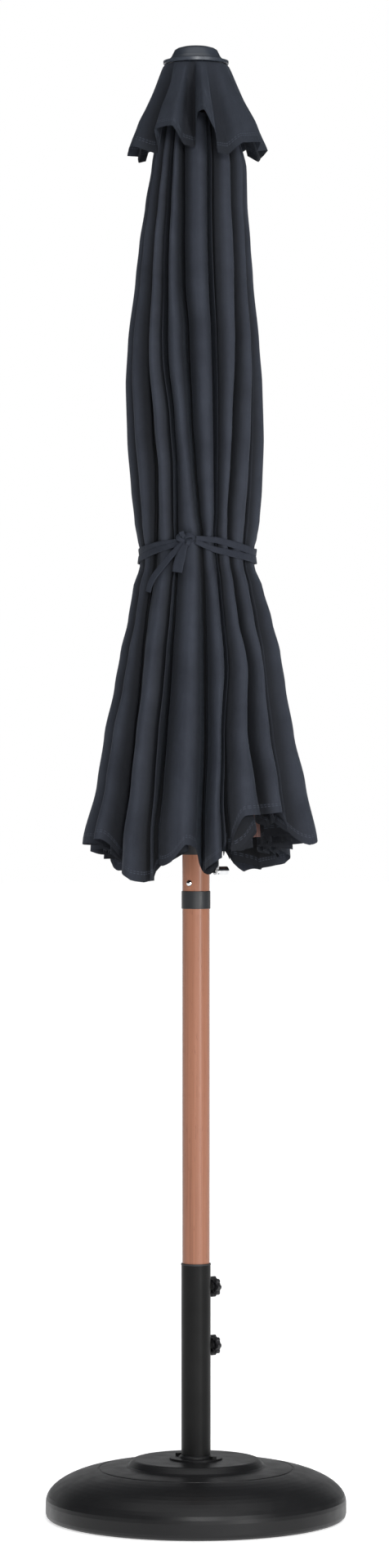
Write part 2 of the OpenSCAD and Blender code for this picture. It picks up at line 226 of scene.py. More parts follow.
def cloth_material(name, light, dark, painted_shade=None):
    """Solution-dyed woven polyester: plain weave, faint cloudiness, creases, and a stitched hem.

    The last colour is painted shade: the cloth goes to it in the fold valleys and on the layers folded in
    underneath, where the "depth" map says it hardly stands out."""
    p = Paint(name, Roughness=0.80, Sheen_Weight=0.06, Sheen_Roughness=0.4, Specular_IOR_Level=0.22)
    p.shader.inputs["Sheen Tint"].default_value = (0.55, 0.66, 0.85, 1)
    uv = p.coords(space="UV")
    warp, weft = (p.node("TexWave", {"Vector": uv, "Scale": THREADS, "Distortion": 0.6, "Detail": 1.0},
                         bands_direction=way).outputs["Fac"] for way in "XY")
    weave = p.math("MULTIPLY", warp, weft)
    body = p.coords()
    cloud = p.noise(body, 14.0, 4.0, 0.6)
    slub = p.noise(p.coords((400, 14, 14), "UV"), 1.0, 2.0)
    base = p.ramp(cloud, [(0.30, dark), (0.72, light)])
    base = p.mix(p.math("MULTIPLY", weave, 0.35), base, tuple(1.9 * c for c in light[:3]) + (1,))
    base = p.mix(p.math("MULTIPLY", slub, 0.25), base, dark)
    # painted shade: the cloth darkens towards the last colour in the fold valleys and on the tucked-in
    # layers, where it lies least far out
    if painted_shade:
        painted_shade_by_depth = p.node("SeparateXYZ", {"Vector": p.node("UVMap", uv_map="depth").outputs[0]}).outputs[0]
        base = p.mix(p.ramp(painted_shade_by_depth, [(0.35, 1.0), (0.70, 0.72), (0.94, 0.0)]), base, painted_shade)
    split = p.node("SeparateXYZ", {"Vector": uv})
    across, up = split.outputs[0], split.outputs[1]
    dash = p.math("LESS_THAN", p.math("FRACT", p.math("MULTIPLY", across, STITCHES)), 0.62)
    line = 0.0
    for h in SEAMS:
        near = p.math("LESS_THAN", p.math("ABSOLUTE", p.math("SUBTRACT", up, h)), SEAM_HALF)
        line = p.math("MAXIMUM", near, line)
    stitch = p.math("MULTIPLY", line, dash)
    fold = p.math("LESS_THAN", up, HEM_FOLD)
    base = p.mix(p.math("MULTIPLY", fold, 0.25), base, dark)
    base = p.mix(p.math("MULTIPLY", stitch, 0.35), base, lin(78, 84, 97))
    crease = p.noise(p.coords((3.0, 3.0, 1.0)), 9.0, 3.0, 0.55)
    wrinkle = p.noise(p.coords((22.0, 22.0, 9.0)), 2.4, 3.0, 0.6)
    n1 = p.bump(crease, 0.35, 0.010)
    n2 = p.bump(wrinkle, 0.30, 0.0025, n1)
    n3 = p.bump(p.math("ADD", weave, p.math("ADD", stitch, fold)), 0.35, 0.0004, n2)
    return p.out(Base_Color=base, Normal=n3)


def build_materials():
    m = {}
    # satin powder coat with a fine orange peel and a little dust
    p = Paint("powder_coat", Specular_IOR_Level=0.24)
    v = p.coords()
    peel = p.noise(v, 900.0, 2.0)
    cloud = p.noise(v, 9.0, 4.0)
    col = p.ramp(cloud, [(0.3, lin(24, 24, 25)), (0.75, lin(31, 31, 32))])
    rough = p.ramp(p.noise(v, 35.0, 4.0), [(0.3, 0.33), (0.7, 0.42)])
    m["coat"] = p.out(Base_Color=col, Roughness=rough, Normal=p.bump(peel, 0.22, 0.0004))
    # black enamel of the tube, smoother
    p = Paint("tube_enamel", Specular_IOR_Level=0.15)
    v = p.coords()
    col = p.ramp(p.noise(v, 20.0, 3.0), [(0.3, lin(17, 17, 17)), (0.75, lin(24, 24, 24))])
    rough = p.ramp(p.noise(p.coords((40, 40, 6)), 3.0, 4.0), [(0.3, 0.34), (0.7, 0.45)])
    m["enamel"] = p.out(Base_Color=col, Roughness=rough, Normal=p.bump(p.noise(v, 700.0, 2.0), 0.18, 0.0003))
    # cast concrete
    p = Paint("cast_concrete", Specular_IOR_Level=0.2)
    v = p.coords()
    grit = p.node("TexVoronoi", {"Vector": v, "Scale": 260.0}).outputs["Distance"]
    col = p.ramp(p.noise(v, 30.0, 6.0), [(0.3, lin(140, 137, 130)), (0.7, lin(182, 179, 172))])
    m["concrete"] = p.out(Base_Color=p.mix(p.math("MULTIPLY", grit, 0.3), col, lin(110, 108, 104)),
                          Roughness=p.ramp(grit, [(0, 0.8), (1, 0.95)]), Normal=p.bump(grit, 0.5, 0.001))
    # moulded black plastic
    p = Paint("moulded_plastic", Specular_IOR_Level=0.5)
    v = p.coords()
    grain = p.node("TexVoronoi", {"Vector": v, "Scale": 1400.0}).outputs["Distance"]
    col = p.ramp(p.noise(v, 60.0, 3.0), [(0.3, lin(26, 26, 28)), (0.75, lin(38, 38, 41))])
    m["plastic"] = p.out(Base_Color=col, Roughness=p.ramp(p.noise(v, 120.0), [(0.3, 0.42), (0.7, 0.55)]),
                         Normal=p.bump(grain, 0.25, 0.0003))
    # zinc plated steel
    p = Paint("plated_steel", Metallic=1.0)
    v = p.coords((30, 30, 400))
    col = p.ramp(p.noise(v, 2.0, 4.0), [(0.3, lin(150, 150, 150)), (0.7, lin(196, 196, 194))])
    m["steel"] = p.out(Base_Color=col, Roughness=p.ramp(p.noise(v, 3.0), [(0.3, 0.22), (0.7, 0.38)]),
                       Normal=p.bump(p.noise(v, 5.0), 0.1, 0.0002))
    # printed wood-look lacquer on the metal pole
    p = Paint("cherry_pole", Coat_Weight=0.12, Coat_Roughness=0.2, Specular_IOR_Level=0.32)
    streak = p.noise(p.coords((90, 90, 1.3)), 1.0, 6.0, 0.62)
    fine = p.noise(p.coords((620, 620, 9)), 1.0, 4.0, 0.7)
    pores = p.noise(p.coords((900, 900, 40)), 1.0, 2.0, 0.5)
    cloud = p.noise(p.coords((12, 12, 1.2)), 1.0, 3.0, 0.5)
    col = p.ramp(streak, [(0.28, lin(112, 70, 50)), (0.46, lin(146, 98, 75)), (0.60, lin(156, 107, 84)),
                          (0.78, lin(126, 80, 61))])
    col = p.mix(p.math("MULTIPLY", fine, 0.5), col, lin(116, 68, 48))
    col = p.mix(p.math("MULTIPLY", cloud, 0.35), col, lin(176, 122, 98))
    col = p.mix(p.ramp(pores, [(0.66, 0.0), (0.74, 0.55)]), col, lin(86, 46, 34))
    m["pole"] = p.out(Base_Color=col, Roughness=p.ramp(streak, [(0.3, 0.30), (0.7, 0.42)]),
                      Normal=p.bump(fine, 0.12, 0.0003))
    # collar band
    p = Paint("collar_plastic", Specular_IOR_Level=0.5)
    v = p.coords()
    col = p.ramp(p.noise(v, 60.0, 3.0), [(0.3, lin(17, 19, 22)), (0.75, lin(25, 27, 31))])
    m["collar"] = p.out(Base_Color=col, Roughness=p.ramp(p.noise(v, 90.0), [(0.3, 0.36), (0.7, 0.48)]),
                        Normal=p.bump(p.noise(v, 1200.0, 2.0), 0.2, 0.0003))
    # bright chrome with light handling marks
    p = Paint("bright_chrome", Metallic=1.0)
    v = p.coords()
    smear = p.noise(v, 45.0, 5.0, 0.65)
    m["chrome"] = p.out(Base_Color=p.ramp(smear, [(0.3, lin(205, 206, 208)), (0.7, lin(232, 232, 233))]),
                        Roughness=p.ramp(smear, [(0.35, 0.06), (0.7, 0.20)]),
                        Normal=p.bump(p.noise(v, 220.0, 3.0), 0.05, 0.0002))
    # braided lift cord
    p = Paint("cord_braid", Sheen_Weight=0.3)
    strand = p.node("TexWave", {"Vector": p.coords((1, 1, 0.55), turn=(0, 0.6, 0.5)), "Scale": 420.0,
                                "Distortion": 1.0}, bands_direction="DIAGONAL").outputs["Fac"]
    m["cord"] = p.out(Base_Color=p.ramp(strand, [(0.2, lin(160, 158, 150)), (0.8, lin(226, 223, 214))]),
                      Roughness=p.ramp(strand, [(0, 0.95), (1, 0.75)]), Normal=p.bump(strand, 0.8, 0.0005))
    # cap plastic, blue-grey
    p = Paint("cap_plastic", Coat_Weight=0.15, Coat_Roughness=0.3, Specular_IOR_Level=0.5)
    v = p.coords()
    col = p.ramp(p.noise(v, 26.0, 4.0), [(0.3, lin(44, 49, 57)), (0.75, lin(54, 60, 69))])
    m["cap"] = p.out(Base_Color=col, Roughness=p.ramp(p.noise(v, 70.0), [(0.3, 0.34), (0.7, 0.46)]),
                     Normal=p.bump(p.noise(v, 1000.0, 2.0), 0.2, 0.0003))
    # stained hardwood of the ribs and struts
    p = Paint("stained_wood", Coat_Weight=0.2, Coat_Roughness=0.3, Specular_IOR_Level=0.45)
    grain = p.noise(p.coords((160, 160, 3.5)), 1.0, 6.0, 0.65)
    rings = p.node("TexWave", {"Vector": p.coords((1, 1, 0.05)), "Scale": 70.0, "Distortion": 6.0,
                               "Detail": 3.0}, bands_direction="X").outputs["Fac"]
    col = p.ramp(grain, [(0.3, lin(58, 36, 32)), (0.55, lin(88, 58, 52)), (0.8, lin(110, 76, 66))])
    col = p.mix(p.math("MULTIPLY", rings, 0.35), col, lin(56, 34, 30))
    m["wood"] = p.out(Base_Color=col, Roughness=p.ramp(grain, [(0.3, 0.48), (0.7, 0.62)]),
                      Normal=p.bump(grain, 0.3, 0.0005))
    # the third colour given to the canopy and the vent is painted shade for their fold valleys and tucked-in
    # layers
    m["cloth"] = cloth_material("canopy_polyester_painted_shade", lin(48, 52, 61), lin(35, 38, 46), lin(9, 11, 15))
    m["vent"] = cloth_material("vent_polyester_painted_shade", lin(44, 48, 57), lin(31, 35, 42), lin(13, 15, 20))
    m["webbing"] = cloth_material("strap_polyester", lin(39, 43, 52), lin(28, 31, 39))
    return m


MAT = build_materials()

FINISH = {
    "coat": ["base_shell", "bottom_plate", "flange_plate"],
    "enamel": ["flange_bolts", "base_tube", "clamp_nuts"],
    "concrete": ["base_weight"],
    "plastic": ["tube_bush", "clamp_knob_1", "clamp_knob_2", "pole_foot_cap", "crank_housing", "top_pulley",
                "top_hub", "runner"],
    "steel": ["clamp_screw_1", "clamp_screw_2", "pole_spigot", "housing_screws",
              "crank_spool", "grip_rivet", "pulley_pin", "hub_pins"],
    "pole": ["lower_pole", "upper_pole"],
    "collar": ["pole_collar"],
    "chrome": ["snap_button", "crank_arm", "crank_grip"],
    "cord": ["lift_cord"],
    "cap": ["finial_cap"],
    "wood": [k + str(i) for k in ("rib_", "strut_") for i in range(1, 9)],
}
for finish, names in FINISH.items():
    for n in names:
        for s in NODES[n].material_slots:
            s.material = MAT[finish]

# ---------------------------------------------------------------- canopy

TOP_Z = 2.462     # where the folds start, under the vent
HEM_Z = 1.17      # about where they end
TIE_Z = 1.688     # where the tie gathers them
FOLD_COUNT = 16   # two to a panel
HEM_REACH = 2     # points to each side over which the hem eases from one layer to the next
FADE_Z, FADE_DROP = 1.38, 0.16                     # where valleys begin to fade out, and over what drop
RIB_PIVOT_Z, RIB_LEAN = 2.5, math.radians(3.2)     # of the closed ribs, as in the CAD

# height, outer radius on the left, on the right
OUTLINE = [(2.462, 0.063, 0.0655), (2.373, 0.078, 0.0885), (2.309, 0.089, 0.0895), (2.237, 0.1, 0.0955),
           (2.18, 0.106, 0.1005), (2.065, 0.119, 0.1125), (1.993, 0.123, 0.1175), (1.893, 0.121, 0.1195),
           (1.807, 0.115, 0.117), (1.749, 0.109, 0.1135), (1.72, 0.1035, 0.1085), (1.705, 0.0995, 0.1040),
           (1.672, 0.099, 0.1040), (1.634, 0.1115, 0.1195), (1.577, 0.1195, 0.1358), (1.52, 0.1325, 0.1508),
           (1.462, 0.1425, 0.1598), (1.376, 0.1615, 0.1748), (1.29, 0.1745, 0.1948), (1.19, 0.1995, 0.2158),
           (1.11, 0.2075, 0.2238)]
# the valleys between the folds: angle from the front at heights going down
VALLEYS = [
    [(2.46, -62), (2.05, -58), (1.92, -50), (1.84, -44), (1.76, -44), (1.657, -48), (1.577, -53),
     (1.376, -51), (1.13, -53)],
    [(2.46, -41), (2.24, -39), (2.08, -35), (2.045, -34), (1.924, -25), (1.844, -22), (1.657, -22),
     (1.5, -24), (1.376, -26), (1.13, -23)],
    [(2.46, -24), (2.24, -19), (2.16, -17), (2.08, -11), (1.924, -6), (1.844, -2), (1.764, 2.4), (1.728, 6),
     (1.657, 7.5), (1.376, 7.5), (1.20, 4.3), (1.13, 4.3)],
    [(2.46, 24), (2.24, 20), (2.08, 21), (1.924, 21), (1.764, 21), (1.728, 20), (1.657, 23.5), (1.497, 25),
     (1.376, 19), (1.24, 15.1), (1.13, 15.1)],
    [(2.46, 62), (2.24, 58), (2.08, 49), (1.924, 41), (1.844, 38), (1.764, 34), (1.728, 34), (1.657, 39),
     (1.577, 41), (1.497, 47), (1.376, 41), (1.13, 40)],
    [(2.46, 84), (2.08, 74), (1.844, 64), (1.728, 60), (1.577, 62), (1.376, 61), (1.13, 60)],
    [(2.46, 104), (2.0, 97), (1.7, 92), (1.4, 95), (1.13, 96)],
    [(2.46, 124), (2.0, 118), (1.7, 114), (1.13, 117)],
    [(2.46, 142), (1.9, 137), (1.7, 136), (1.4, 140), (1.13, 139)],
    [(2.46, 160), (1.9, 163), (1.7, 159), (1.13, 161)],
    [(2.46, 181), (2.0, 186), (1.7, 182), (1.13, 183)],
    [(2.46, 202), (2.0, 204), (1.7, 201), (1.3, 203), (1.13, 202)],
    [(2.46, 223), (1.9, 222), (1.7, 220), (1.13, 221)],
    [(2.46, 242), (2.0, 239), (1.7, 242), (1.13, 240)],
    [(2.46, 262), (2.1, 258), (1.9, 260), (1.7, 261), (1.13, 259)],
    [(2.46, 282), (2.1, 283), (1.9, 288), (1.7, 291), (1.4, 290), (1.13, 292)],
]
# lowest edge of the cloth by angle from the front
HEM = [(-90, 1.184), (-66, 1.193), (-56, 1.196), (-52, 1.160), (-46, 1.143), (-40, 1.134), (-30, 1.118),
       (-24, 1.123), (-18, 1.133), (-14, 1.147), (-9, 1.172), (-5, 1.187), (0, 1.199), (4, 1.203),
       (4.6, 1.160), (7, 1.150), (12, 1.162), (14.6, 1.168), (15.6, 1.226), (21, 1.235), (36, 1.238),
       (50, 1.241), (59.4, 1.246), (60.6, 1.176), (72, 1.180), (80, 1.188), (90, 1.199), (105, 1.188),
       (124, 1.164), (136, 1.142), (144, 1.131), (150, 1.142), (156, 1.128), (161, 1.152), (164, 1.172),
       (175, 1.182), (188, 1.180), (200, 1.152), (212, 1.128), (222, 1.130), (236, 1.152), (250, 1.170),
       (270, 1.184)]
# the same for the layers folded in underneath
HEM_IN = [(-90, 1.186), (-70, 1.172), (-58, 1.156), (-48, 1.138), (-40, 1.134), (-28, 1.132), (-14, 1.165),
          (-8, 1.178), (0, 1.158), (6, 1.138), (9, 1.127), (12, 1.148), (16, 1.163), (20, 1.170),
          (30, 1.182), (42, 1.188), (50, 1.215), (60, 1.235), (84, 1.235), (94, 1.200), (110, 1.186),
          (124, 1.172), (142, 1.138), (150, 1.150), (156, 1.172), (175, 1.188), (188, 1.188), (200, 1.158),
          (212, 1.134), (236, 1.158), (250, 1.174), (270, 1.186)]
# the valleys that fade out towards the hem, and how much
FADE = {1: 0.9, 3: 0.8, 4: 0.9, 8: 0.7, 11: 0.8, 13: 0.7}
# each fold: the side its steep wall is on, where its crest is, how wide the gentle and the steep walls are
FOLDS = [("R", .44, .38, .34), ("R", .40, .44, .30), ("R", .44, .38, .34), ("R", .42, .40, .32),
         ("L", .40, .38, .32), ("R", .40, .36, .28), ("L", .32, .44, .24), ("R", .36, .40, .28),
         ("R", .30, .46, .24), ("L", .36, .38, .26), ("R", .32, .44, .22), ("L", .34, .40, .26),
         ("L", .30, .46, .22), ("R", .36, .38, .26), ("L", .38, .36, .28), ("L", .34, .42, .26)]
# the small pleat hidden between the two folds of a panel: (angle, depth)
TUCK = [(.0, .02), (-.02, .25), (-.03, .50), (-.028, .70), (-.006, .76), (.008, .68), (.0, .45), (-.010, .2),
        (.0, .02)]


def fold_shape(k):
    """One fold across, as (part of its angle, part of its depth), with the pleats folded in under it."""
    steep_side, crest, gentle, steep = FOLDS[k]
    pts = [(0, .02), (.24 * steep, .26), (.40 * steep, .50), (.56 * steep, .72),
           (lerp(steep, crest, .25), .93), (crest, 1.0), (lerp(crest, 1 - gentle, .6), .96),
           (1 - gentle * .92, .86), (1 - .62 * gentle, .70),
           (1 - .36 * gentle, .56), (1 - .30 * gentle, .46), (1 - .7 * gentle, .46), (.56, .56), (.38, .60),
           (.31, .52), (.40, .44), (.58, .42), (1 - .6 * gentle, .37), (1 - .26 * gentle, .32),
           (1 - .28 * gentle, .22), (.68, .22), (.46, .21), (.36, .13), (.56, .06), (.90, .06), (1, .02)]
    return pts if steep_side == "L" else [(1 - a, b) for a, b in pts[::-1]]


def envelope(alpha, z):
    """Outer radius of the folded cloth; a little less in front and behind, but not at the tie."""
    left, right = table(OUTLINE, z, 1), table(OUTLINE, z, 2)
    s = math.sin(math.radians(alpha))
    side = lerp(left, right, 0.5 + 0.5 * s)
    return side - 0.004 * (1 - s * s) * min(1.0, abs(z - TIE_Z) / 0.1)


def inner(z):
    """Radius just outside the closed ribs."""
    return 0.0455 + (RIB_PIVOT_Z - z) * math.tan(RIB_LEAN)


def valley(k, z):
    return table(VALLEYS[k % FOLD_COUNT], z) + (360 if k >= FOLD_COUNT else 0)


def fold_angle(k, a, z):
    """The angle a point has that lies a of the way across fold k."""
    return lerp(valley(k, z), valley(k + 1, z), a)


def faded(k):
    return FADE.get(k % FOLD_COUNT, 0)


def near_tie(z):
    return math.exp(-((z - TIE_Z) / 0.055) ** 2)


def fold_height(k, z):
    """How far a fold stands out, as part of the depth; each wanders a little but the two at the sides."""
    k %= FOLD_COUNT
    if k in (5, 14):
        return 1.0
    wander = noise.noise(Vector((k * 5.13, z * 2.6, 0.4)))
    return 1.0 - (0.05 + 0.12 * wander) * (1 - near_tie(z))


def sway(k, z):
    """How far a fold leans to one side, in degrees."""
    return 0.7 * noise.noise(Vector((k % FOLD_COUNT * 3.7, z * 1.7, 2.0)))


def gathering(k):
    """Which way the tie pushes a fold, from -1 to 1."""
    return math.sin(k % FOLD_COUNT * 2.4)


def hem_height(k, a, b, v):
    """Height of the hem under a point that is v of the way down to it, a across fold k and b out."""
    outer = clamp((b - 0.45) / 0.35)
    # beside a fading valley the outer hem runs on, over all of a steep wall but a strip of a gentle one
    soft = faded(k) if a < 0.5 else faded(k + 1)
    steep_side, _, _, steep = FOLDS[k]
    zone = steep if (a > 0.5) == (steep_side == "R") else 0.08
    outer = max(outer, soft * clamp((zone + 0.05 - min(a, 1 - a)) / 0.06))
    outer = outer * outer * (3 - 2 * outer)
    # the angle depends on the height and the height on the angle, so twice
    z = lerp(TOP_Z, HEM_Z, v)
    for _ in range(2):
        alpha = wrapped(fold_angle(k, a, z))
        hem = lerp(table(HEM_IN, alpha), table(HEM, alpha), outer)
        z = lerp(TOP_Z, hem, v)
    return hem


def cloth_point(k, a, b, z):
    """The point at height z that is a of the way across fold k and b of the way out."""
    alpha = fold_angle(k, a, z)
    r_in, r_out = inner(z), envelope(alpha, z)
    fade = lerp(faded(k), faded(k + 1), clamp((a - 0.3) / 0.4)) * clamp((FADE_Z - z) / FADE_DROP)
    b = lerp(b, 0.84 + 0.16 * b, fade)
    squeeze = near_tie(z)
    # two folds agree at the valley that they share
    other = k - 1 if a < 0.5 else k + 1
    own = 0.5 + 0.5 * clamp(min(a, 1 - a) / 0.2)
    depth = (r_out - r_in) * lerp(fold_height(other, z), fold_height(k, z), own)
    r = r_in + depth * b
    turn = math.radians(alpha)
    ripple = noise.noise(Vector((math.sin(turn) * 3, z * 3.2, math.cos(turn) * 3)))
    r += 0.0032 * ripple * b * (1 - squeeze)
    swing = lerp(sway(other, z), sway(k, z), own) * b * (1 - squeeze)
    gather = 1.8 * squeeze * b * lerp(gathering(other), gathering(k), own)
    return around(alpha + swing + gather, min(r, r_out + 0.001), z)


def panel_rows(first, rows=118, per_fold=42):
    """The two folds that ride one rib: rows of points, their flat coordinates and how far out each point
    lies, from which the cloth material paints shade.
    """
    path = [(first, a, b) for a, b in spline(fold_shape(first), per_fold)]
    path += [(first + 1, a, b) for a, b in spline(TUCK, 16)[1:-1]]
    path += [(first + 1, a, b) for a, b in spline(fold_shape(first + 1), per_fold)]
    grid = []
    for j in range(rows + 1):
        v = j / rows
        hems = [hem_height(k, a, b, v) for k, a, b in path]
        line = []
        for i, (k, a, b) in enumerate(path):
            reach = min(HEM_REACH, i, len(path) - 1 - i)
            hem = sum(hems[i - reach:i + reach + 1]) / (2 * reach + 1)
            line.append(cloth_point(k, a, b, lerp(TOP_Z, hem, v)))
        grid.append(line)
    widths = [0.0]
    mid = grid[rows * 2 // 3]
    for p, q in zip(mid, mid[1:]):
        widths.append(widths[-1] + (p - q).length)
    drop = TOP_Z - HEM_Z
    uvs = [[(w, drop * (1 - j / rows)) for w in widths] for j in range(rows + 1)]
    # how far out each point lies; the cloth material paints shade where this is low, in the valleys and on
    # the tucked-in layers
    shade_mask = [[(b, b) for _, _, b in path]] * (rows + 1)
    return grid, uvs, shade_mask


# the rib that each panel rides, by the first of its two folds
RIB_OF_FIRST = {0: 7, 2: 8, 4: 1, 6: 2, 8: 3, 10: 4, 12: 5, 14: 6}


def build_canopy():
    for first, rib in RIB_OF_FIRST.items():
        grid, uvs, shade_mask = panel_rows(first)
        cloth = grid_mesh("canopy_cloth_%d" % rib, grid, MAT["cloth"], uvs, shade_mask=shade_mask)
        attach(cloth, "rib_%d" % rib)
        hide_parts("canopy_panel_%d" % rib)


# ---------------------------------------------------------------- vent flounce

# angle from the front, radius and height of the vent's hem
VENT_HEM = [(-90, .119, 2.394), (-65, .121, 2.405), (-52, .104, 2.392), (-45, .099, 2.390),
            (-35, .121, 2.428), (-18, .125, 2.431), (-13, .104, 2.400), (-3, .090, 2.397), (1, .112, 2.455),
            (7, .129, 2.457), (15, .127, 2.425), (20, .110, 2.386), (30, .110, 2.384), (42, .122, 2.405),
            (60, .127, 2.409), (72, .112, 2.398), (90, .123, 2.403), (103, .116, 2.393), (115, .120, 2.390),
            (125, .112, 2.402), (135, .127, 2.420), (155, .106, 2.385), (175, .124, 2.420),
            (195, .108, 2.385), (220, .125, 2.415), (236, .108, 2.392), (245, .112, 2.388),
            (258, .106, 2.395), (270, .119, 2.394)]
# radius and height where the vent starts under the cap's rim, and where it bends over the cap's edge
VENT_START, VENT_BEND = (0.047, 2.5535), (0.0565, 2.5520)
BEND_AT = 0.16            # part of the rows that lies above the bend
VENT_MEAN_R = 0.114       # radius of the hem between its folds' crests and valleys
VENT_HEIGHT = 0.175       # length of the cloth down from the cap


def vent_point(alpha, v):
    """The vent's point v of the way down at an angle, and how far out of its folds it stands, which sets its
    painted shade.
    """
    r_hem, z_hem = table(VENT_HEM, wrapped(alpha), 1), table(VENT_HEM, wrapped(alpha), 2)
    fold = (r_hem - 0.115) / 0.018
    if v < BEND_AT:
        t = v / BEND_AT
        r, z = lerp(VENT_START[0], VENT_BEND[0], t), lerp(VENT_START[1], VENT_BEND[1], t)
    else:
        t = (v - BEND_AT) / (1 - BEND_AT)
        z = lerp(VENT_BEND[1], z_hem, t)
        base = lerp(VENT_BEND[0], VENT_MEAN_R, t ** 0.86)
        base -= 0.0045 * math.sin(math.pi * min(t * 1.5, 1))
        r = base + (r_hem - VENT_MEAN_R) * (1.3 * t ** 0.8)
        r += 0.0016 * t ** 1.15 * noise.noise(Vector((alpha * .12, z * 40, 3)))
    # how far out of its folds the vent lies: low in the fold valleys, where the vent material paints shade
    shade_mask = min(max(0.86 + 0.42 * fold * min(1.0, 1.6 * v), 0.35), 1.0)
    return around(alpha - 2.2 * max(0, (v - .3)) * fold, r, z), shade_mask


def build_vent():
    n, rows = 288, 34
    grid, uvs, shade_mask = [], [], []
    for j in range(rows + 1):
        v = j / rows
        turns = [-90 + 360 * i / n for i in range(n + 1)]
        points = [vent_point(alpha, v) for alpha in turns]
        grid.append([point for point, _ in points])
        shade_mask.append([(out, 0) for _, out in points])
        uvs.append([(math.radians(alpha) * 0.1, VENT_HEIGHT * (1 - v)) for alpha in turns])
    vent = grid_mesh("vent_flounce", grid, MAT["vent"], uvs, shade_mask=shade_mask)
    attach(vent, "pole")
    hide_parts("vent_canopy")
    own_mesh(vent)


# ---------------------------------------------------------------- tie strap


def ribbon(name, path, normals, widths, thick, material):
    """A webbing strip with rounded edges along a path; widths lie across the normals."""
    section = [(-.5, 0), (-.47, .42), (-.3, .5), (0, .5), (.3, .5), (.47, .42), (.5, 0), (.47, -.42),
               (.3, -.5), (0, -.5), (-.3, -.5), (-.47, -.42)]
    sides = len(section)
    rows, uvs = [], []
    run = 0.0
    for i, p in enumerate(path):
        t = (path[min(i + 1, len(path) - 1)] - path[max(i - 1, 0)]).normalized()
        nrm = (normals[i] - t * normals[i].dot(t)).normalized()
        side = t.cross(nrm)
        if i:
            run += (p - path[i - 1]).length
        rows.append([p + side * (x * widths[i]) + nrm * (y * thick) for x, y in section + section[:1]])
        # clear of the stitched hem, which the material draws below HEM_FOLD
        uvs.append([(run, 0.03 + (k / sides) * 0.04) for k in range(sides + 1)])
    return grid_mesh(name, rows, material, uvs)


LANE_START, LANE_SWEEP = -14, 346     # the tie's two lanes: first angle, and degrees round to the left
KNOT_SHARE = 0.22                     # part of the way, at each end, over which they rise to the knot
LANE_Z, LANE_R = 1.6895, 0.1013       # their height and radius, before the terms added below


def build_strap():
    parts = []
    n = 150
    for lane in (0, 1):
        path, normals, widths = [], [], []
        for i in range(n + 1):
            # from the knot round to the left, behind, and back to the knot from the right
            s = i / n
            alpha = LANE_START - s * LANE_SWEEP
            left = max(0.0, 1 - s / KNOT_SHARE)
            right = max(0.0, (s - (1 - KNOT_SHARE)) / KNOT_SHARE)
            half = lerp(0.0062, 0.0022, left ** 1.5)
            half = lerp(half, 0.0030, max(0.0, right - 0.75) * 4)
            gap = 0.0040 * math.sin(math.pi * min(1.0, right)) * right
            mid = LANE_Z + 0.0215 * left ** 1.3 + 0.0235 * right ** 1.35
            z = mid + (half + gap) * (1 if lane == 0 else -1)
            z += 0.0009 * noise.noise(Vector((alpha * 0.06, lane * 3.0, 5)))
            a = math.radians(alpha)
            r = LANE_R + 0.0010 * lane * (1 - right) + 0.0011 * noise.noise(Vector((alpha * 0.05, lane, 9)))
            # the tie sits a little to the right of the pole, with the cloth it gathers
            r += 0.0012 + 0.0028 * math.sin(a) + 0.0028 * max(left ** 3, right ** 6)
            path.append(around(alpha, r, z))
            normals.append(Vector((math.sin(a), -math.cos(a), 0.12 * (1 if lane else -1))))
            widths.append(lerp(0.0135, 0.0085, max(left ** 2, right ** 2)))
        parts.append(ribbon("lane", path, normals, widths, 0.0018, MAT["webbing"]))
    # the knot: a flattened overhand of the two ends
    centre = around(-9.6, 0.1085, 1.7145)
    e_x, e_z, e_y = Vector((0.985, -0.17, 0)), Vector((0, 0, 1)), Vector((-0.17, -0.985, 0))
    path, normals, widths = [], [], []
    for i in range(97):
        t = 2 * math.pi * i / 96
        x = (math.sin(t) + 1.7 * math.sin(2 * t)) * 0.0052
        z = (math.cos(t) - 1.7 * math.cos(2 * t)) * 0.0040
        y = -math.sin(3 * t) * 0.0042
        path.append(centre + e_x * x + e_z * z + e_y * y)
        normals.append((e_x * x + e_z * z).normalized() * 0.6 + e_y)
        widths.append(0.0082 + 0.0012 * math.sin(5 * t))
    parts.append(ribbon("knot", path, normals, widths, 0.0036, MAT["webbing"]))
    # the long tail, the short wide tail and a little end that sticks up: (angle, radius, height), widths
    tails = [
        ([(-11, .1105, 1.712), (-16, .1115, 1.700), (-24, .112, 1.684), (-32, .113, 1.667),
          (-38, .1165, 1.652), (-42, .119, 1.637), (-44, .1195, 1.624)],
         [.008, .010, .012, .0135, .0135, .013, .012]),
        ([(-9, .111, 1.708), (-11, .1135, 1.698), (-13, .1145, 1.686), (-15, .116, 1.672),
          (-16, .1185, 1.657)],
         [.009, .013, .017, .0185, .018]),
        ([(-10, .111, 1.716), (-12, .1135, 1.722), (-13, .114, 1.7275)], [.007, .0085, .0095]),
    ]
    for k, (pts, ws) in enumerate(tails):
        path = [around(*p) for p in spline(pts, 30)]
        wid = [w[0] for w in spline([(w,) for w in ws], 30)]
        nrm = [Vector((p.x, p.y, 0)).normalized() + Vector((0, 0, 0.25 * math.sin(3 * i / 30 + k)))
               for i, p in enumerate(path)]
        parts.append(ribbon("tail", path, nrm, wid, 0.0017, MAT["webbing"]))
    strap = join("tie_strap_knotted", parts)
    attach(strap, "rib_7")
    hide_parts("tie_strap")
    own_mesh(strap)


# ---------------------------------------------------------------- button spring


BUTTON_TURN = math.radians(240)       # the way the button points, round from +X
BUTTON_Z = 1.116


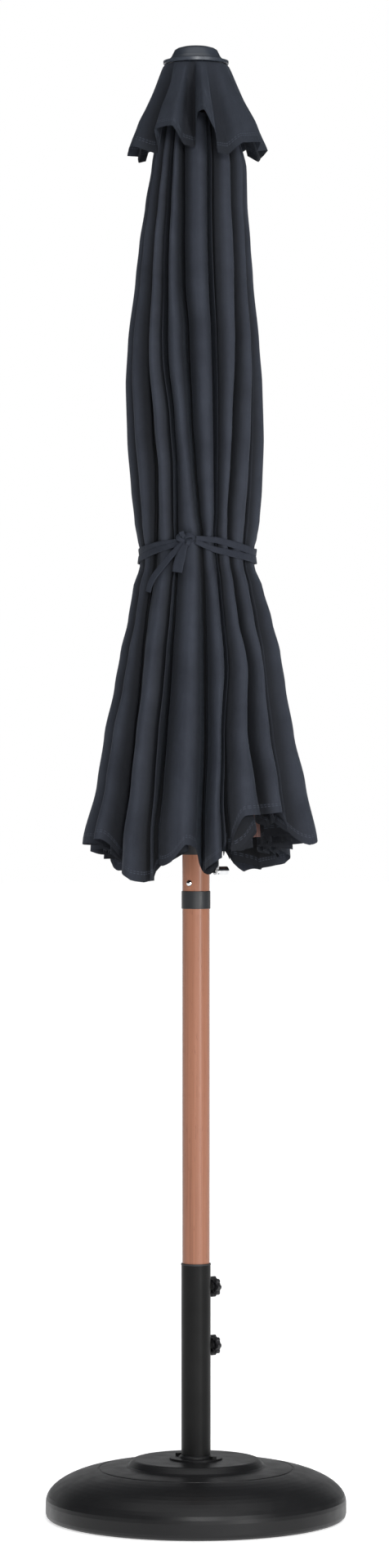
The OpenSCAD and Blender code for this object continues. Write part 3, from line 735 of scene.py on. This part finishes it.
def build_spring():
    """The bent leaf behind the snap button, built at rest; it does not move with the button."""
    out_way, up = Vector((math.cos(BUTTON_TURN), math.sin(BUTTON_TURN), 0)), Vector((0, 0, 1))

    def at(x, y):
        """Millimetres out along the button and up from it."""
        return out_way * (x / 1000) + up * (BUTTON_Z + y / 1000)

    line = [(16.95, 6.6), (16.95, 2), (16.95, -4), (16.8, -8.2), (13.4, -21), (9.7, -35), (6.0, -49),
            (3.4, -59), (2.0, -62.6), (0.6, -59.6), (-4.0, -45.5), (-8.6, -31.5), (-13, -18.5),
            (-16.0, -9.4), (-17.4, -8.5), (-19.4, -8.5)]
    flat = spline(line, 150)
    path = [at(x, y) for x, y in flat]
    normals, widths = [], []
    for i in range(len(path)):
        a, b = flat[max(i - 1, 0)], flat[min(i + 1, len(path) - 1)]
        way = Vector((b[0] - a[0], b[1] - a[1])).normalized()
        normals.append(out_way * way.y - up * way.x)
        # the ends are round
        from_end = min(i, len(path) - 1 - i) / 6
        widths.append(0.0076 * math.sqrt(max(0.0, 1 - (1 - min(from_end, 1)) ** 2)) + 0.0001)
    spring = ribbon("button_leaf_spring", path, normals, widths, 0.0008, MAT["steel"])
    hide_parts("button_spring")
    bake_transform(spring)


# ---------------------------------------------------------------- stage, lights, camera


def build_stage():
    rings, spokes, radius = 24, 64, 60
    rows = []
    for j in range(rings + 1):
        r = radius * (j / rings) ** 2.2 + 0.001
        turns = [math.tau * i / spokes for i in range(spokes)]
        rows.append([Vector((r * math.cos(turn), r * math.sin(turn), -0.0005)) for turn in turns])
    p = Paint("studio_paper", Specular_IOR_Level=0.05, Emission_Color=(1, 1, 1, 1), Emission_Strength=0.68)
    tint = p.ramp(p.noise(p.coords(), 3.0), [(0.3, (0.87, 0.87, 0.87, 1)), (0.7, (0.89, 0.89, 0.89, 1))])
    floor = grid_mesh("studio_floor", rows, p.out(Base_Color=tint, Roughness=p.ramp(
        p.noise(p.coords(), 60.0), [(0.3, 0.85), (0.7, 0.95)])), close_u=True)
    # the background is white to the camera and gives only a faint blue light
    world = bpy.data.worlds.new("studio")
    world.use_nodes = True
    tree = world.node_tree
    tree.nodes["Background"].inputs[0].default_value = (0.80, 0.88, 1.0, 1)
    tree.nodes["Background"].inputs[1].default_value = 0.05
    bright = tree.nodes.new("ShaderNodeBackground")
    bright.inputs[0].default_value = (1, 1, 1, 1)
    bright.inputs[1].default_value = 1.0
    path, both = tree.nodes.new("ShaderNodeLightPath"), tree.nodes.new("ShaderNodeMixShader")
    tree.links.new(path.outputs["Is Camera Ray"], both.inputs[0])
    tree.links.new(tree.nodes["Background"].outputs[0], both.inputs[1])
    tree.links.new(bright.outputs[0], both.inputs[2])
    tree.links.new(both.outputs[0], tree.nodes["World Output"].inputs[0])
    bpy.context.scene.world = world
    bpy.context.scene.view_settings.view_transform = "Standard"
    sky = bpy.data.lights.new("overhead", "SUN")
    sky.energy, sky.angle = 1.15, math.radians(70)
    lamp = bpy.data.objects.new("overhead", sky)
    lamp.rotation_euler = (math.radians(12), 0, 0)
    bpy.context.collection.objects.link(lamp)
    # place, point aimed at, width, height, power
    for k, (at, aim, sx, sy, power) in enumerate([
            ((3.9, -5.2, 1.9), (0, 0, 1.2), 0.9, 3.2, 165),
            ((0.6, -7.4, 3.4), (0, 0, 1.3), 1.8, 1.6, 270),
            ((-0.8, 7.0, 2.0), (0, 0, 1.6), 13.0, 3.4, 60)]):
        data = bpy.data.lights.new("softbox_%d" % k, "AREA")
        data.shape, data.size, data.size_y, data.energy = "RECTANGLE", sx, sy, power
        lamp = bpy.data.objects.new("softbox_%d" % k, data)
        lamp.location = at
        lamp.rotation_euler = (Vector(aim) - Vector(at)).to_track_quat("-Z", "Y").to_euler()
        lamp.visible_camera = False
        bpy.context.collection.objects.link(lamp)


def build_camera():
    data = bpy.data.cameras.new("camera")
    data.lens, data.sensor_width, data.clip_end = 105.8, 36.0, 60.0
    cam = bpy.data.objects.new("camera", data)
    cam.location = (-0.0026, -8.1, 1.29)
    cam.rotation_euler = (math.pi / 2, 0, 0)
    bpy.context.collection.objects.link(cam)
    bpy.context.scene.camera = cam


build_camera()
build_stage()
build_canopy()
build_vent()
build_strap()
build_spring()
